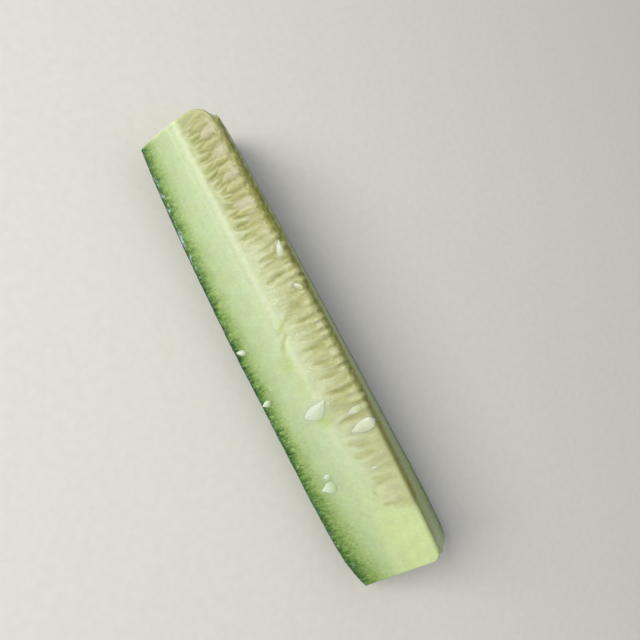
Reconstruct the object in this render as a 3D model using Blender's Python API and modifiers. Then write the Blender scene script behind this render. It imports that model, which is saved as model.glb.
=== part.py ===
"""One stick of slicing cucumber, cut lengthwise from the fruit.

The stick lies along X on its skin. Its two cut faces lean together over the skin and meet in a ridge,
where the fruit's axis ran. Seeds stand out of both cut faces beside the ridge, and out of the cut end
at -X. The end at +X comes from the tip of the fruit, which has no seeds.
Metres, +Z up. The origin is in the middle of the stick, on the surface that it rests on."""

import math
import random

import bmesh
import bpy
from mathutils import Matrix, Vector

NAME = "cucumber_stick"

LENGTH = 0.140
FULL_RADIUS = 0.0277  # from the fruit's axis to its skin, where the barrel is fullest
FULL_X = 0.010
TAPER = 0.0033  # how much slimmer the barrel is at its two ends
FRONT_LEAN = math.radians(39)  # of the front cut face, outwards from straight down
# The same of the back one, at -X and at +X: the second cut was made by hand and twists.
BACK_LEAN = (math.radians(34), math.radians(41))
RIDGE_RADIUS = 0.0012
RIDGE_BOW = 0.0013  # the second cut strays this far outwards mid-length
REST_DEPTH = 0.00025  # the skin is pressed flat by this much where the stick rests
AXIS_Y = -0.0002  # the fruit's axis, in front of the middle because the back face bows outwards
SKIN_CORNER = 0.0005

SEEDED_END_ROUND = 0.0055  # how far the ridge's corner is worn back at the seeded end
SEEDED_END_CROWN = 0.0014  # how far that end stands out at its core
CROWN_RADIUS = 0.009
PLAIN_END_ROUND = 0.0015

TURN_STEPS = 72
SKIN_STATIONS = 24
CUT_STATIONS = 14
RIDGE_ARC_STEPS = 5
CORNER_ARC_STEPS = 5
SEED_SIDES = 8
SEED_RINGS = 7

# Seeds and the pulp that clings to them, which is why they are a little larger than bare seeds.
SEED_LENGTH = 0.0092
SEED_WIDTH = 0.0036
SEED_THICKNESS = 0.0023
SEED_TAPER = 0.6  # how much slimmer a seed is towards its point than towards its blunt end
SEED_PITCH = 0.0027
SEED_JITTER = 0.0005
SEED_ROW = (-0.0672, 0.0520)  # the stretch along X that holds seeds
SEED_MIDDLE = 0.0052  # a seed's middle, measured down the cut face from the ridge
SEED_PROUD = 0.0010  # how far a seed stands out of the cut face
END_SEED_ANGLES = (-25, 0, 25)  # degrees round the axis, from straight down
END_SEED_MIDDLE = 0.0078
END_SEED_SIZE = 0.9
END_SEED_PROUD = 0.0004

# Seeds that stand out from the row on the front cut face: place along X, place down the face from the
# ridge, size against a usual seed, turn within the face in degrees, and how flat they lie in degrees.
SHOWY_SEEDS = (
    (-0.0621, 0.0048, 0.95, 4, 50),
    (-0.0556, 0.0048, 1.0, -3, 60),
    (-0.0488, 0.0048, 0.9, 6, 45),
    (-0.0402, 0.0050, 1.0, -14, 40),
    (-0.0300, 0.0052, 1.0, 10, 35),
    (0.0283, 0.0038, 0.95, -2, 65),
    (0.0481, 0.0058, 1.05, 16, 80),
)
SHOWY_ROOM = 0.0016  # no seed of the row is nearer than this to a showy one
# Seeds that came loose and stick to the flesh of the front face, in the same numbers.
LOOSE_SEEDS = (
    (0.0195, 0.0150, 0.85, 4, 85),
    (0.0409, 0.0213, 0.45, -10, 80),
)

AXIS = Vector((0, AXIS_Y, FULL_RADIUS - REST_DEPTH))
FRONT, BACK = -1, 1  # the cut face towards -Y, and the one towards +Y
SKIN, FLESH, SEED = range(3)  # the materials, in the order of the object's slots


def clear_scene():
    for obj in list(bpy.data.objects):
        bpy.data.objects.remove(obj, do_unlink=True)


def new_collection(name):
    collection = bpy.data.collections.new(name)
    bpy.context.scene.collection.children.link(collection)
    return collection


def linear(channel):
    return channel / 12.92 if channel <= 0.04045 else ((channel + 0.055) / 1.055) ** 2.4


def new_material(name, hex_colour, roughness):
    material = bpy.data.materials.new(name)
    material.use_nodes = True
    shader = material.node_tree.nodes["Principled BSDF"]
    channels = [int(hex_colour[i : i + 2], 16) / 255 for i in (0, 2, 4)]
    shader.inputs["Base Color"].default_value = (*map(linear, channels), 1)
    shader.inputs["Roughness"].default_value = roughness
    shader.inputs["Metallic"].default_value = 0
    return material


def add_object(name, bm, collection, materials, slot):
    """Moves bm into a new mesh object whose faces all use the material at slot."""
    for face in bm.faces:
        face.material_index = slot
    mesh = bpy.data.meshes.new(name)
    bm.to_mesh(mesh)
    bm.free()
    for material in materials:
        mesh.materials.append(material)
    obj = bpy.data.objects.new(name, mesh)
    collection.objects.link(obj)
    return obj


def apply_modifiers(obj):
    graph = bpy.context.evaluated_depsgraph_get()
    obj.data = bpy.data.meshes.new_from_object(obj.evaluated_get(graph))
    obj.modifiers.clear()


def skin_radius(x):
    """The barrel's radius at x: it thins slowly towards -X, and late but fast towards +X."""
    if x < FULL_X:
        return FULL_RADIUS - TAPER * ((FULL_X - x) / (FULL_X + LENGTH / 2)) ** 2.5
    return FULL_RADIUS - TAPER * ((x - FULL_X) / (LENGTH / 2 - FULL_X)) ** 8


def corner_arc(radius):
    """(distance from the axis, set-back) of points round an end's corner at the axis."""
    for step in range(CORNER_ARC_STEPS + 1):
        angle = math.pi / 2 * step / CORNER_ARC_STEPS
        yield radius * (1 - math.cos(angle)), radius * (1 - math.sin(angle))


def plain_end():
    """(x, distance from the axis) from the axis out to the skin, on the end at +X."""
    end = LENGTH / 2
    for radius, set_back in corner_arc(PLAIN_END_ROUND):
        yield end - set_back, radius
    yield end, skin_radius(end) - SKIN_CORNER


def seeded_end():
    """The same on the end at -X, which is crowned."""
    end = -LENGTH / 2
    for radius, set_back in corner_arc(SEEDED_END_ROUND):
        yield end + set_back, radius
    rim = skin_radius(end) - SKIN_CORNER
    for share in (0, 0.5, 0.8, 1):
        yield end + SEEDED_END_CROWN * share**2, CROWN_RADIUS + share * (rim - CROWN_RADIUS)


def skin_line():
    """(x, distance from the axis) along the skin, from +X to -X."""
    first = LENGTH / 2 - SKIN_CORNER
    last = -LENGTH / 2 + SEEDED_END_CROWN + SKIN_CORNER
    for step in range(SKIN_STATIONS + 1):
        x = first + (last - first) * step / SKIN_STATIONS
        yield x, skin_radius(x)


def turned_fruit(collection, materials):
    """The whole round fruit of the stick's length, turned about its axis, which is laid along X."""
    outline = [*plain_end(), *skin_line(), *reversed(list(seeded_end()))]
    bm = bmesh.new()
    points = [bm.verts.new((radius, 0, x)) for x, radius in outline]
    for start, end in zip(points, points[1:]):
        bm.edges.new((start, end))
    fruit = add_object(NAME, bm, collection, materials, SKIN)
    turn = fruit.modifiers.new("Turn", "SCREW")
    turn.axis = "Z"
    turn.angle = 2 * math.pi
    turn.steps = turn.render_steps = TURN_STEPS
    turn.use_merge_vertices = True
    turn.merge_threshold = 0.00001
    apply_modifiers(fruit)
    fruit.data.transform(Matrix.Translation(AXIS) @ Matrix.Rotation(math.pi / 2, 4, "Y"))
    for face in fruit.data.polygons:
        face.material_index = FLESH if abs(face.normal.x) > 0.5 else SKIN
    return fruit


def bow(x):
    """How far the second cut has strayed outwards at x, measured along the front face."""
    return RIDGE_BOW * (1 - (2 * x / LENGTH) ** 2)


def lean(side, x):
    """How far a cut face leans outwards from straight down at x."""
    if side == FRONT:
        return FRONT_LEAN
    first, last = BACK_LEAN
    return first + (last - first) * (x / LENGTH + 0.5) ** 2


def down_face(side, x):
    """The direction from the ridge down a cut face to the skin."""
    return Vector((0, side * math.sin(lean(side, x)), -math.cos(lean(side, x))))


def face_normal(side, x):
    return Vector((0, side * math.cos(lean(side, x)), math.sin(lean(side, x))))


def ridge_line(x):
    """Where the two cuts meet at x."""
    return AXIS + Vector((x, 0, 0)) - bow(x) * down_face(FRONT, x)


def wedge_outline(x):
    """The points of the kept wedge at x: one cut's foot, round the ridge, and the other cut's foot."""
    ridge = ridge_line(x)
    down_front, down_back = down_face(FRONT, x), down_face(BACK, x)
    middle = (down_front + down_back).normalized()
    half_angle = (lean(FRONT, x) + lean(BACK, x)) / 2
    arc_centre = ridge + RIDGE_RADIUS / math.sin(half_angle) * middle
    yield ridge + down_front * ridge.z / -down_front.z
    for step in range(RIDGE_ARC_STEPS + 1):
        share = step / RIDGE_ARC_STEPS
        tilt = (1 - share) * (lean(FRONT, x) - math.pi / 2) + share * (math.pi / 2 - lean(BACK, x))
        yield arc_centre + RIDGE_RADIUS * Vector((0, math.sin(tilt), math.cos(tilt)))
    yield ridge + down_back * ridge.z / -down_back.z


def wedge_block(collection, materials):
    """What the two cuts and the resting surface leave of the fruit, longer than the stick at both ends.
    It is lofted along X, because the second cut bows and twists."""
    bm = bmesh.new()
    sections = []
    for step in range(CUT_STATIONS + 1):
        x = 1.1 * LENGTH * (step / CUT_STATIONS - 0.5)
        sections.append([bm.verts.new(point) for point in wedge_outline(x)])
    bm.faces.new(sections[0])
    bm.faces.new(reversed(sections[-1]))
    for near, far in zip(sections, sections[1:]):
        for i in range(len(near)):
            bm.faces.new((near[i], near[i - 1], far[i - 1], far[i]))
    bmesh.ops.recalc_face_normals(bm, faces=bm.faces)
    block = add_object("wedge_block", bm, collection, materials, FLESH)
    block.hide_render = True
    block.display_type = "WIRE"
    return block


def cut_wedge(fruit, block):
    cut = fruit.modifiers.new("Two cuts", "BOOLEAN")
    cut.operation = "INTERSECT"
    cut.object = block
    apply_modifiers(fruit)


def face_place(side, x, down):
    """A frame on a cut face: its Y runs down the face and its Z stands out of it."""
    place = ridge_line(x) + down * down_face(side, x)
    turn = Matrix((Vector((side, 0, 0)), down_face(side, x), face_normal(side, x)))
    return Matrix.Translation(place) @ turn.transposed().to_4x4()


def add_seed(place, size, turn, flat, proud, collection, materials):
    """A seed with its point down the place's Y. Turned flat by 90 degrees it shows its broad side, and at
    0 degrees its edge. It is sunk until only proud of it stands out of the place's plane."""
    length, width, thickness = (size * side for side in (SEED_LENGTH, SEED_WIDTH, SEED_THICKNESS))
    flat = math.radians(flat)
    reach = math.hypot(width / 2 * math.cos(flat), thickness / 2 * math.sin(flat))
    bm = bmesh.new()
    bmesh.ops.create_uvsphere(bm, u_segments=SEED_SIDES, v_segments=SEED_RINGS, radius=1)
    for vert in bm.verts:
        across, wide, along = vert.co
        slim = 1 - SEED_TAPER * along / 2
        vert.co = (across * slim * thickness / 2, along * length / 2, -wide * slim * width / 2)
    lie = Matrix.Rotation(math.radians(turn), 4, "Z") @ Matrix.Rotation(flat, 4, "Y")
    bm.transform(place @ Matrix.Translation((0, 0, proud - reach)) @ lie)
    return add_object("seed", bm, collection, materials, SEED)


def row_of_seeds(side, draw):
    """(x, down, size, turn, flat) for each seed of the row along a cut face."""
    first, last = SEED_ROW
    for step in range(int((last - first) / SEED_PITCH) + 1):
        x = first + step * SEED_PITCH + draw.uniform(-SEED_JITTER, SEED_JITTER)
        down = SEED_MIDDLE + draw.uniform(-SEED_JITTER, SEED_JITTER)
        yield x, down, draw.uniform(0.86, 1.06), draw.gauss(0, 8), draw.uniform(-55, 55)


def all_seeds(collection, materials):
    draw = random.Random(7)
    for side in (FRONT, BACK):
        for x, down, size, turn, flat in row_of_seeds(side, draw):
            if side == FRONT and min(abs(x - seed[0]) for seed in SHOWY_SEEDS) < SHOWY_ROOM:
                continue
            place = face_place(side, x, down)
            add_seed(place, size, turn, flat, SEED_PROUD, collection, materials)
    for x, down, size, turn, flat in SHOWY_SEEDS + LOOSE_SEEDS:
        place = face_place(FRONT, x, down)
        add_seed(place, size, turn, flat, SEED_PROUD, collection, materials)
    for angle in END_SEED_ANGLES:
        outwards = Matrix.Rotation(math.radians(angle), 4, "X") @ Vector((0, 0, -1))
        normal = Vector((-1, 0, 0))
        turn = Matrix((outwards.cross(normal), outwards, normal)).transposed().to_4x4()
        place = AXIS + LENGTH / 2 * normal + END_SEED_MIDDLE * outwards
        seed_place = Matrix.Translation(place) @ turn
        add_seed(seed_place, END_SEED_SIZE, 0, 90, END_SEED_PROUD, collection, materials)


def fuse(stick, collection):
    """Joins everything in the collection to the stick, and removes the collection."""
    join = stick.modifiers.new("Seeds", "BOOLEAN")
    join.operation = "UNION"
    join.operand_type = "COLLECTION"
    join.collection = collection
    apply_modifiers(stick)
    for obj in list(collection.objects):
        bpy.data.objects.remove(obj, do_unlink=True)
    bpy.data.collections.remove(collection)


def main():
    clear_scene()
    materials = (
        new_material("cucumber skin", "2f5a24", 0.35),
        new_material("cucumber flesh", "cfe0b4", 0.3),
        new_material("cucumber seed", "d9d2b0", 0.3),
    )
    parts = new_collection(NAME)
    cutters = new_collection("cutters")
    stick = turned_fruit(parts, materials)
    cut_wedge(stick, wedge_block(cutters, materials))
    seeds = new_collection("seeds")
    all_seeds(seeds, materials)
    fuse(stick, seeds)
    stick.data.shade_smooth()
    stick.data.set_sharp_from_angle(angle=math.radians(35))


main()
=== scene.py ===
"""The looks of one cucumber stick: its knife-cut flesh, waxy skin, wet pulp and seeds.

The stick lies along X on its skin. Its ridge, where the fruit's core ran, is on top. The front cut face
looks towards -Y and up, the back one towards +Y and up. Metres, +Z up."""

import math
import random

import bmesh
import bpy
import numpy as np
from mathutils import Matrix, Vector, noise


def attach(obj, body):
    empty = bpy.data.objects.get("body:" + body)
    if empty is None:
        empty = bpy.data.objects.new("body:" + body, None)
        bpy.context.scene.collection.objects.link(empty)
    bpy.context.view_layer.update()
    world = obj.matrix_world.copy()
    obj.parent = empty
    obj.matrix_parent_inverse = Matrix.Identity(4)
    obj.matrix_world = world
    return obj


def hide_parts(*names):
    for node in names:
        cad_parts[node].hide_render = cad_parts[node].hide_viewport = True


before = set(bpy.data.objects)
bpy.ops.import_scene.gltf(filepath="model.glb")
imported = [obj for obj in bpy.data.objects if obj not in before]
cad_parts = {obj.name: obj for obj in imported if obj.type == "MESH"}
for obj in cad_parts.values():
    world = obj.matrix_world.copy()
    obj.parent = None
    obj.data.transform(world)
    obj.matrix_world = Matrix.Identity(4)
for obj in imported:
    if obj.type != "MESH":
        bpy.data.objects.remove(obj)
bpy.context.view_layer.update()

MM = 0.001
FRONT, BACK = -1, 1  # the cut face towards -Y, and the one towards +Y

# The stick's own sizes, as its solid has them.
NODE = "cucumber_stick"
LENGTH = 140 * MM
FULL_RADIUS = 27.7 * MM
FULL_X = 10 * MM
TAPER = 3.3 * MM
TAPER_POWERS = (2.5, 8)  # the stick narrows slowly to the seeded end, and late to the plain one
FRONT_LEAN = math.radians(39)
BACK_LEAN = (math.radians(34), math.radians(41))
RIDGE_RADIUS = 1.2 * MM
RIDGE_WEAR = 2.2 * MM  # the ridge is rounder by that at the seeded end, and evenly less over WORN_LENGTH
WORN_LENGTH = 7 * MM
RIDGE_BOW = 1.3 * MM
REST_DEPTH = 0.25 * MM
AXIS = np.array([0, -0.2 * MM, FULL_RADIUS - REST_DEPTH])  # the fruit's axis at the stick's middle

# Both ends are worn round near the axis, and more so towards their back edge.
SEEDED_END_ROUND = 5.5 * MM
SEEDED_END_CROWN = 1.4 * MM
SEEDED_END_TIP = 1.7 * MM  # the ridge's tip is worn flat that far round the axis
CROWN_RADIUS = 9 * MM
BACK_CORNER_WEAR = 2.4 * MM
BACK_WEAR_SPREAD = 0.65  # how much farther out from the axis the wear reaches there
PLAIN_END_ROUND = 3.2 * MM
PLAIN_END_WEAR = 2.3 * MM
PLAIN_END_SKEW = 2.2 * MM  # the cut reaches that much farther at its back edge
PLAIN_BACK_ROUND = 3.5 * MM

SEED_LENGTH = 9.2 * MM
SEED_WIDTH = 3.6 * MM
SEED_THICKNESS = 2.3 * MM
SEED_PITCH = 2.7 * MM
SEED_JITTER = 0.5 * MM
SEED_ROW = (-67.2 * MM, 52 * MM)
SEED_MIDDLE = 5.2 * MM  # down from the ridge
SEED_SIZES = (0.86, 1.06)
SEED_TURN = 8  # degrees, the usual turn of a seed in the face
SEED_FLATNESS = 55  # degrees, how far over to either side a seed may lie
END_SEED_ANGLES = (-25, 0, 25)
END_SEED_MIDDLE = 7.8 * MM
END_SEED_LENGTH = 0.765 * SEED_LENGTH
END_SEED_SIZE = 0.9
END_SEED_PROUD = 0.35 * MM
END_SEED_WIDTHS = (2.9 * MM, 2.7 * MM, 1.9 * MM)
END_SEED_GAP = 0.4 * MM  # between an end seed and the long edges of the end
SHOWY_ROOM = 1.6 * MM  # no seed of the row is nearer than this to a showy one
# Place along X and down the face in millimetres, size, turn and flatness, as in the solid.
SHOWY_SEEDS = (
    (-62.1, 4.8, 0.95, 4, 50),
    (-55.6, 4.8, 1.0, -3, 60),
    (-48.8, 4.8, 0.9, 6, 45),
    (-40.2, 5.0, 1.0, -14, 40),
    (-30.0, 5.2, 1.0, 10, 35),
    (28.3, 3.8, 0.95, -2, 65),
    (48.1, 5.8, 1.05, 16, 80),
)

# Outlines of the bare seeds with a shape of their own, (across, towards the tip) from their middle, in
# millimetres: the loose seed, the drop of torn flesh, and the seed that reaches the ridge.
LEAF = ((-2.1, -3.7), (-2.1, -1.8), (-2.0, -0.3), (-1.7, 1.5), (-0.9, 3.0), (0.2, 4.2), (1.3, 3.3),
        (2.1, 1.8), (2.4, 0.1), (1.8, -1.4), (0.3, -2.6), (-1.2, -3.5))
DROP = ((-1.5, -1.5), (0.0, -2.2), (1.7, -1.4), (1.6, 0.1), (0.9, 1.4), (0.0, 2.6), (-0.8, 1.5),
        (-1.6, 0.1))
BLUNT = ((-1.5, -3.0), (-0.1, -3.5), (1.3, -2.8), (1.8, -1.1), (1.6, 1.0), (0.9, 2.9), (0.2, 4.2),
         (-0.7, 2.8), (-1.6, 0.7), (-1.9, -1.3))

# Bare seeds and torn white bits on the front face, in millimetres and degrees: place along X and down the
# face, outline or (length, width), height over the face, turn, lean (its right side rises), the way and
# the strength with which one side fades into the jelly round it, and how cold its white is.
BARE_SEEDS = (
    (19.5, 14.6, LEAF, 0.36, 0, -2, 115, 0.5, 0.6),
    (40.4, 21.3, DROP, 0.2, 0, 0, 180, 0.9, 1.0),
    (28.3, 3.9, BLUNT, 0.34, 0, -1, 90, 0.55, 0.25),
    (23.4, 4.2, (5.6, 2.0), 0.16, 4, 0, 170, 1.0, 0.3),
)
TORN_BITS = (
    (-24.8, 2.1, (5.0, 2.0), 0.32, -114, 0, 180, 0.5, 0.3),
    (-13.8, 2.6, (3.8, 1.4), 0.14, -55, 0, 180, 1.0, 0.0),
    # The bit at 39.9 mm is a painted highlight: a pale streak standing in for a glint on the wet pulp.
    (39.9, 6.5, (2.4, 1.0), 0.2, -15, 0, 180, 0.6, 0.3),
    (37.4, 20.6, (2.6, 2.0), 0.14, -20, 0, 150, 1.0, 1.0),
    # The bit at 11.6 mm is a clear drop of water on the skin's edge, drawn as an opaque cold white lens: its
    # white is a painted highlight.
    (11.6, 27.2, (3.2, 1.9), 0.5, 4, 0, 180, 1.0, 1.0),
    (-4.6, 27.0, (3.2, 1.7), 0.6, -24, 0, 180, 0.2, 0.5),
)

# How the fine surface is divided.
STATIONS = 560
BAND_END = 13.2 * MM  # the stretch of each cut, down from the ridge, that has fine rows for the seeds
FRONT_BAND_ROWS = 42
FRONT_FLESH_ROWS = 30
BACK_BAND_ROWS = 32
BACK_FLESH_ROWS = 16
RIDGE_ROWS = 9
SKIN_ROWS = 44
CORNER_ROWS = 5
SKIN_CORNER = 0.9 * MM  # the skin drags under the knife, so its long edges are rounded
RIM = 0.35 * MM
RIM_ROWS = 3
CAP_ROWS = 34
SKIN_SHARE = 0.55  # faces whose points all belong to the skin by more than this are skin


def lean(side, x):
    """How far a cut face leans outwards from straight down at each x. The back one twists."""
    if side == FRONT:
        return FRONT_LEAN + 0 * x
    first, last = BACK_LEAN
    return first + (last - first) * (x / LENGTH + 0.5) ** 2


def down_face(side, x):
    angle = lean(side, x)
    return np.stack([0 * angle, side * np.sin(angle), -np.cos(angle)], axis=-1)


def face_normal(side, x):
    angle = lean(side, x)
    return np.stack([0 * angle, side * np.cos(angle), np.sin(angle)], axis=-1)


def skin_radius(x):
    slow, late = TAPER_POWERS
    to_seeded = FULL_RADIUS - TAPER * np.abs((FULL_X - x) / (FULL_X + LENGTH / 2)) ** slow
    to_plain = FULL_RADIUS - TAPER * ((x - FULL_X) / (LENGTH / 2 - FULL_X)) ** late
    return np.where(x < FULL_X, to_seeded, to_plain)


def bow(x):
    return RIDGE_BOW * (1 - (2 * x / LENGTH) ** 2)


def along(x):
    """Points on the X axis at each x."""
    return np.stack([x, 0 * x, 0 * x], axis=-1)


def ridge_line(x):
    return AXIS + along(x) - bow(x)[..., None] * down_face(FRONT, x)


def face_reach(side, x):
    """How far down the cut face the skin is, from the ridge."""
    if side == FRONT:
        return skin_radius(x) + bow(x)
    turn = np.cos(lean(FRONT, x) + lean(BACK, x))
    return bow(x) * turn + np.sqrt(skin_radius(x) ** 2 - (1 - turn**2) * bow(x) ** 2)


def smooth(low, high, value):
    """0 below low, 1 above high, and an even rise between."""
    t = np.clip((value - low) / (high - low), 0, 1)
    return t * t * (3 - 2 * t)


def plateau(low, full, fading, gone, value):
    """0 below low, 1 from full to fading, and 0 again above gone."""
    return smooth(low, full, value) * (1 - smooth(fading, gone, value))


def ripple(points, size, seed):
    """Noise between about -1 and 1 at each point, with lumps of that size."""
    shift = Vector((seed * 17.3, seed * 5.1, seed * 9.7))
    flat = points.reshape(-1, 3) / size
    values = np.fromiter((noise.noise(Vector(p) + shift) for p in flat), float, len(flat))
    return values.reshape(points.shape[:-1])


# The ring of points round the stick: up the front face from the skin, over the ridge, down the back face,
# and round the skin.
def half_wedge(x):
    return (lean(FRONT, x) + lean(BACK, x)) / 2


def ridge_radius(x):
    """The ridge is rounder in the last millimetres of the seeded end, where it is worn."""
    return RIDGE_RADIUS + RIDGE_WEAR * np.clip(1 - (x + LENGTH / 2) / WORN_LENGTH, 0, 1) ** 2


def ridge_foot(x):
    """Where the rounding of the ridge meets the flat of the cuts, down from the sharp ridge."""
    return ridge_radius(x) / np.tan(half_wedge(x))


def face_rows(band_rows, flesh_rows):
    """(share of the seed band, share of what is beyond it) of a face's rows, from the ridge down."""
    band = np.concatenate([np.linspace(0, 1, band_rows), np.ones(flesh_rows)])
    beyond = np.concatenate([np.zeros(band_rows), np.arange(1, flesh_rows + 1) / flesh_rows])
    return band, beyond


def face_points(side, band, beyond, x):
    """Places, normals and distances down the cut of a face's points."""
    down = ridge_foot(x) + band * (BAND_END - ridge_foot(x))
    down = down + beyond * (face_reach(side, x) - SKIN_CORNER - BAND_END)
    return ridge_line(x) + down[:, None] * down_face(side, x), face_normal(side, x), down


def ridge_points(share, x):
    """Places, normals, and the distance from the front cut's flat round the ridge as a share."""
    half = half_wedge(x)
    middle = down_face(FRONT, x) + down_face(BACK, x)
    middle /= np.linalg.norm(middle, axis=1)[:, None]
    tilt = (1 - share) * (lean(FRONT, x) - math.pi / 2) + share * (math.pi / 2 - lean(BACK, x))
    normals = np.stack([0 * tilt, np.sin(tilt), np.cos(tilt)], axis=1)
    centre = ridge_line(x) + (ridge_radius(x) / np.sin(half))[:, None] * middle
    return centre + ridge_radius(x)[:, None] * normals, normals


def corner_points(side, turn, x):
    """The rounded long edge of the skin: turn runs from 0 at the cut face to a right angle at the skin."""
    edge = ridge_line(x) + face_reach(side, x)[:, None] * down_face(side, x)
    outwards = edge - AXIS - along(x)
    outwards /= np.linalg.norm(outwards, axis=1)[:, None]
    normals = np.cos(turn)[:, None] * face_normal(side, x) + np.sin(turn)[:, None] * outwards
    return edge - SKIN_CORNER * (face_normal(side, x) + outwards) + SKIN_CORNER * normals, normals


def skin_points(share, x):
    """From the back edge, at share 0, to the front edge, at 1."""
    edge = ridge_line(x) + face_reach(BACK, x)[:, None] * down_face(BACK, x)
    back = np.arctan2(edge[:, 1] - AXIS[1], AXIS[2] - edge[:, 2]) - SKIN_CORNER / skin_radius(x)
    front = -FRONT_LEAN + SKIN_CORNER / skin_radius(x)
    angle = back + share * (front - back)
    normals = np.stack([0 * angle, np.sin(angle), -np.cos(angle)], axis=1)
    return AXIS + along(x) + skin_radius(x)[:, None] * normals, normals


# The points of one ring: front face, ridge, back face, back corner, skin and front corner.
RING_PARTS = (
    FRONT_BAND_ROWS + FRONT_FLESH_ROWS,
    RIDGE_ROWS,
    BACK_BAND_ROWS + BACK_FLESH_ROWS,
    CORNER_ROWS,
    SKIN_ROWS,
    CORNER_ROWS,
)
RING = sum(RING_PARTS)
FAR = 40 * MM  # stands for a distance that a point has no use for


def section(x):
    """One ring of points, each at its own x: their places and normals, how far they are down the front cut,
    down the back cut and over the ridge's middle towards the back, and how much they belong to the skin."""
    stops = np.cumsum(RING_PARTS)
    on_front, on_ridge, on_back, on_back_corner, on_skin, on_front_corner = (
        slice(stop - count, stop) for count, stop in zip(RING_PARTS, stops)
    )
    band, beyond = face_rows(FRONT_BAND_ROWS, FRONT_FLESH_ROWS)
    round_ridge = np.linspace(0, 1, RIDGE_ROWS + 2)[1:-1]
    turn = np.linspace(0, math.pi / 2, CORNER_ROWS + 2)[1:-1]
    pieces = (
        face_points(FRONT, band[::-1], beyond[::-1], x[on_front]),
        ridge_points(round_ridge, x[on_ridge]),
        face_points(BACK, *face_rows(BACK_BAND_ROWS, BACK_FLESH_ROWS), x[on_back]),
        corner_points(BACK, turn, x[on_back_corner]),
        skin_points(np.linspace(0, 1, SKIN_ROWS), x[on_skin]),
        corner_points(FRONT, turn[::-1], x[on_front_corner]),
    )
    places, normals = (np.concatenate([piece[k] for piece in pieces]) for k in (0, 1))

    down_front, down_back, over = (np.full(len(x), FAR) for _ in range(3))
    down_front[on_front], down_back[on_back] = pieces[0][2], pieces[2][2]
    foot, half = ridge_foot(x), half_wedge(x)
    arc = (ridge_radius(x) * (math.pi - 2 * half))[on_ridge]
    down_front[on_ridge] = foot[on_ridge] - arc * round_ridge
    down_back[on_ridge] = foot[on_ridge] - arc * (1 - round_ridge)
    over[on_ridge] = arc * (round_ridge - 0.5)
    for cut, way, down in ((on_front, -1, down_front), (on_back, 1, down_back)):
        half_arc = (ridge_radius(x) * (math.pi / 2 - half))[cut]
        over[cut] = way * (down[cut] - foot[cut] + half_arc)
    peel = np.zeros(len(x))
    peel[on_skin] = 1
    peel[on_back_corner] = np.sin(turn) ** 0.7
    peel[on_front_corner] = peel[on_back_corner][::-1]
    return places, normals, down_front, down_back, over, peel


def from_axis(places):
    return np.hypot(places[..., 1] - AXIS[1], places[..., 2] - AXIS[2])


def worn_corner(radius, distance):
    """How far an end is set back near the axis, where the ridge's corner is worn round."""
    inside = np.clip(radius - distance, 0, radius)
    return radius - np.sqrt(radius**2 - inside**2)


def toward_back(places, low, high):
    """0 to 1 by the way from the axis to a point of an end: 1 where it leads to the back."""
    distance = np.maximum(from_axis(places), 0.1 * MM)
    return smooth(low, high, (places[..., 1] - AXIS[1]) / distance)


def seeded_end_x(places):
    distance, back = from_axis(places), toward_back(places, -0.1, 0.56)
    rim = skin_radius(np.float64(-LENGTH / 2))
    crown = SEEDED_END_CROWN * np.clip((distance - CROWN_RADIUS) / (rim - CROWN_RADIUS), 0, None) ** 2
    from_tip = np.clip(distance - SEEDED_END_TIP, 0, None) * (1 - BACK_WEAR_SPREAD * back)
    return -LENGTH / 2 + crown + worn_corner(SEEDED_END_ROUND + BACK_CORNER_WEAR * back, from_tip)


def plain_end_x(places):
    distance, back = from_axis(places), toward_back(places, 0.1, 0.5)
    rim = skin_radius(np.float64(LENGTH / 2))
    skew = PLAIN_END_SKEW * back * smooth(2 * MM, 20 * MM, distance)
    corner = worn_corner(PLAIN_BACK_ROUND, rim - distance) * back**2
    return LENGTH / 2 - worn_corner(PLAIN_END_ROUND + PLAIN_END_WEAR * back, distance) + skew - corner


def stick_rings():
    """The rings of the stick from end to end, stacked: places, normals and section()'s distances."""
    stacks = []
    for step in range(STATIONS):
        share = step / (STATIONS - 1)
        x = np.full(RING, LENGTH * (share - 0.5))
        for _ in range(2):
            places = section(x)[0]
            first, last = seeded_end_x(places) + RIM, plain_end_x(places) - RIM
            x = first + share * (last - first)
        stacks.append(section(x))
    return [np.stack(column) for column in zip(*stacks)]


SEED_RISE = {FRONT: 0.4 * MM, BACK: 0.8 * MM}  # the wet pulp round a seed hides the rest of its height
SEED_SHORTER = 0.7  # its ends are hidden too, the lower one more
SEED_HIGHER = 0.7 * MM
SEED_TONES = (0.0, 0.75)  # of the seeds in the rows, where a showy one has 1
GELS = (0.3, 1.0)
CHAMBER_FEET = (-1.1, 1.0)  # millimetres beyond the foot of the pulp
LUMP = SHOWY_SEEDS[6]  # swollen pulp covers this one
LUMP_WIDER = 1.75

# Heights and depths of the fine relief.
THREAD_HEIGHT = 0.05 * MM
WALL_HEIGHT = 0.12 * MM
JELLY_DEPTH = 0.2 * MM
TEAR_DEPTH = 0.3 * MM
TAB_HEIGHT = 0.55 * MM
RIDGE_WORN_DOWN = 0.3 * MM
SKIN_OUT = 0.25 * MM

# How the pulp changes along X, as (place in millimetres, value), on the front face and on the back one.
# The seeds and the pulp show that strongly.
SEEDS_SHOW = {
    FRONT: ((-70, 0.7), (-65, 1.0), (-38, 0.95), (-27, 0.35), (-20, 0.2), (17, 0.15), (30, 0.4), (41, 0.4),
            (45, 0.55)),
    BACK: ((0, 0.9),),
}
PULP_SHOWS = {
    FRONT: ((-70, 0.5), (-65, 1.0), (14, 1.0), (26, 0.7), (38, 0.5), (42, 0.45), (46, 0.45), (60, 0.4)),
    BACK: ((0, 0.9),),
}
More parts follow.
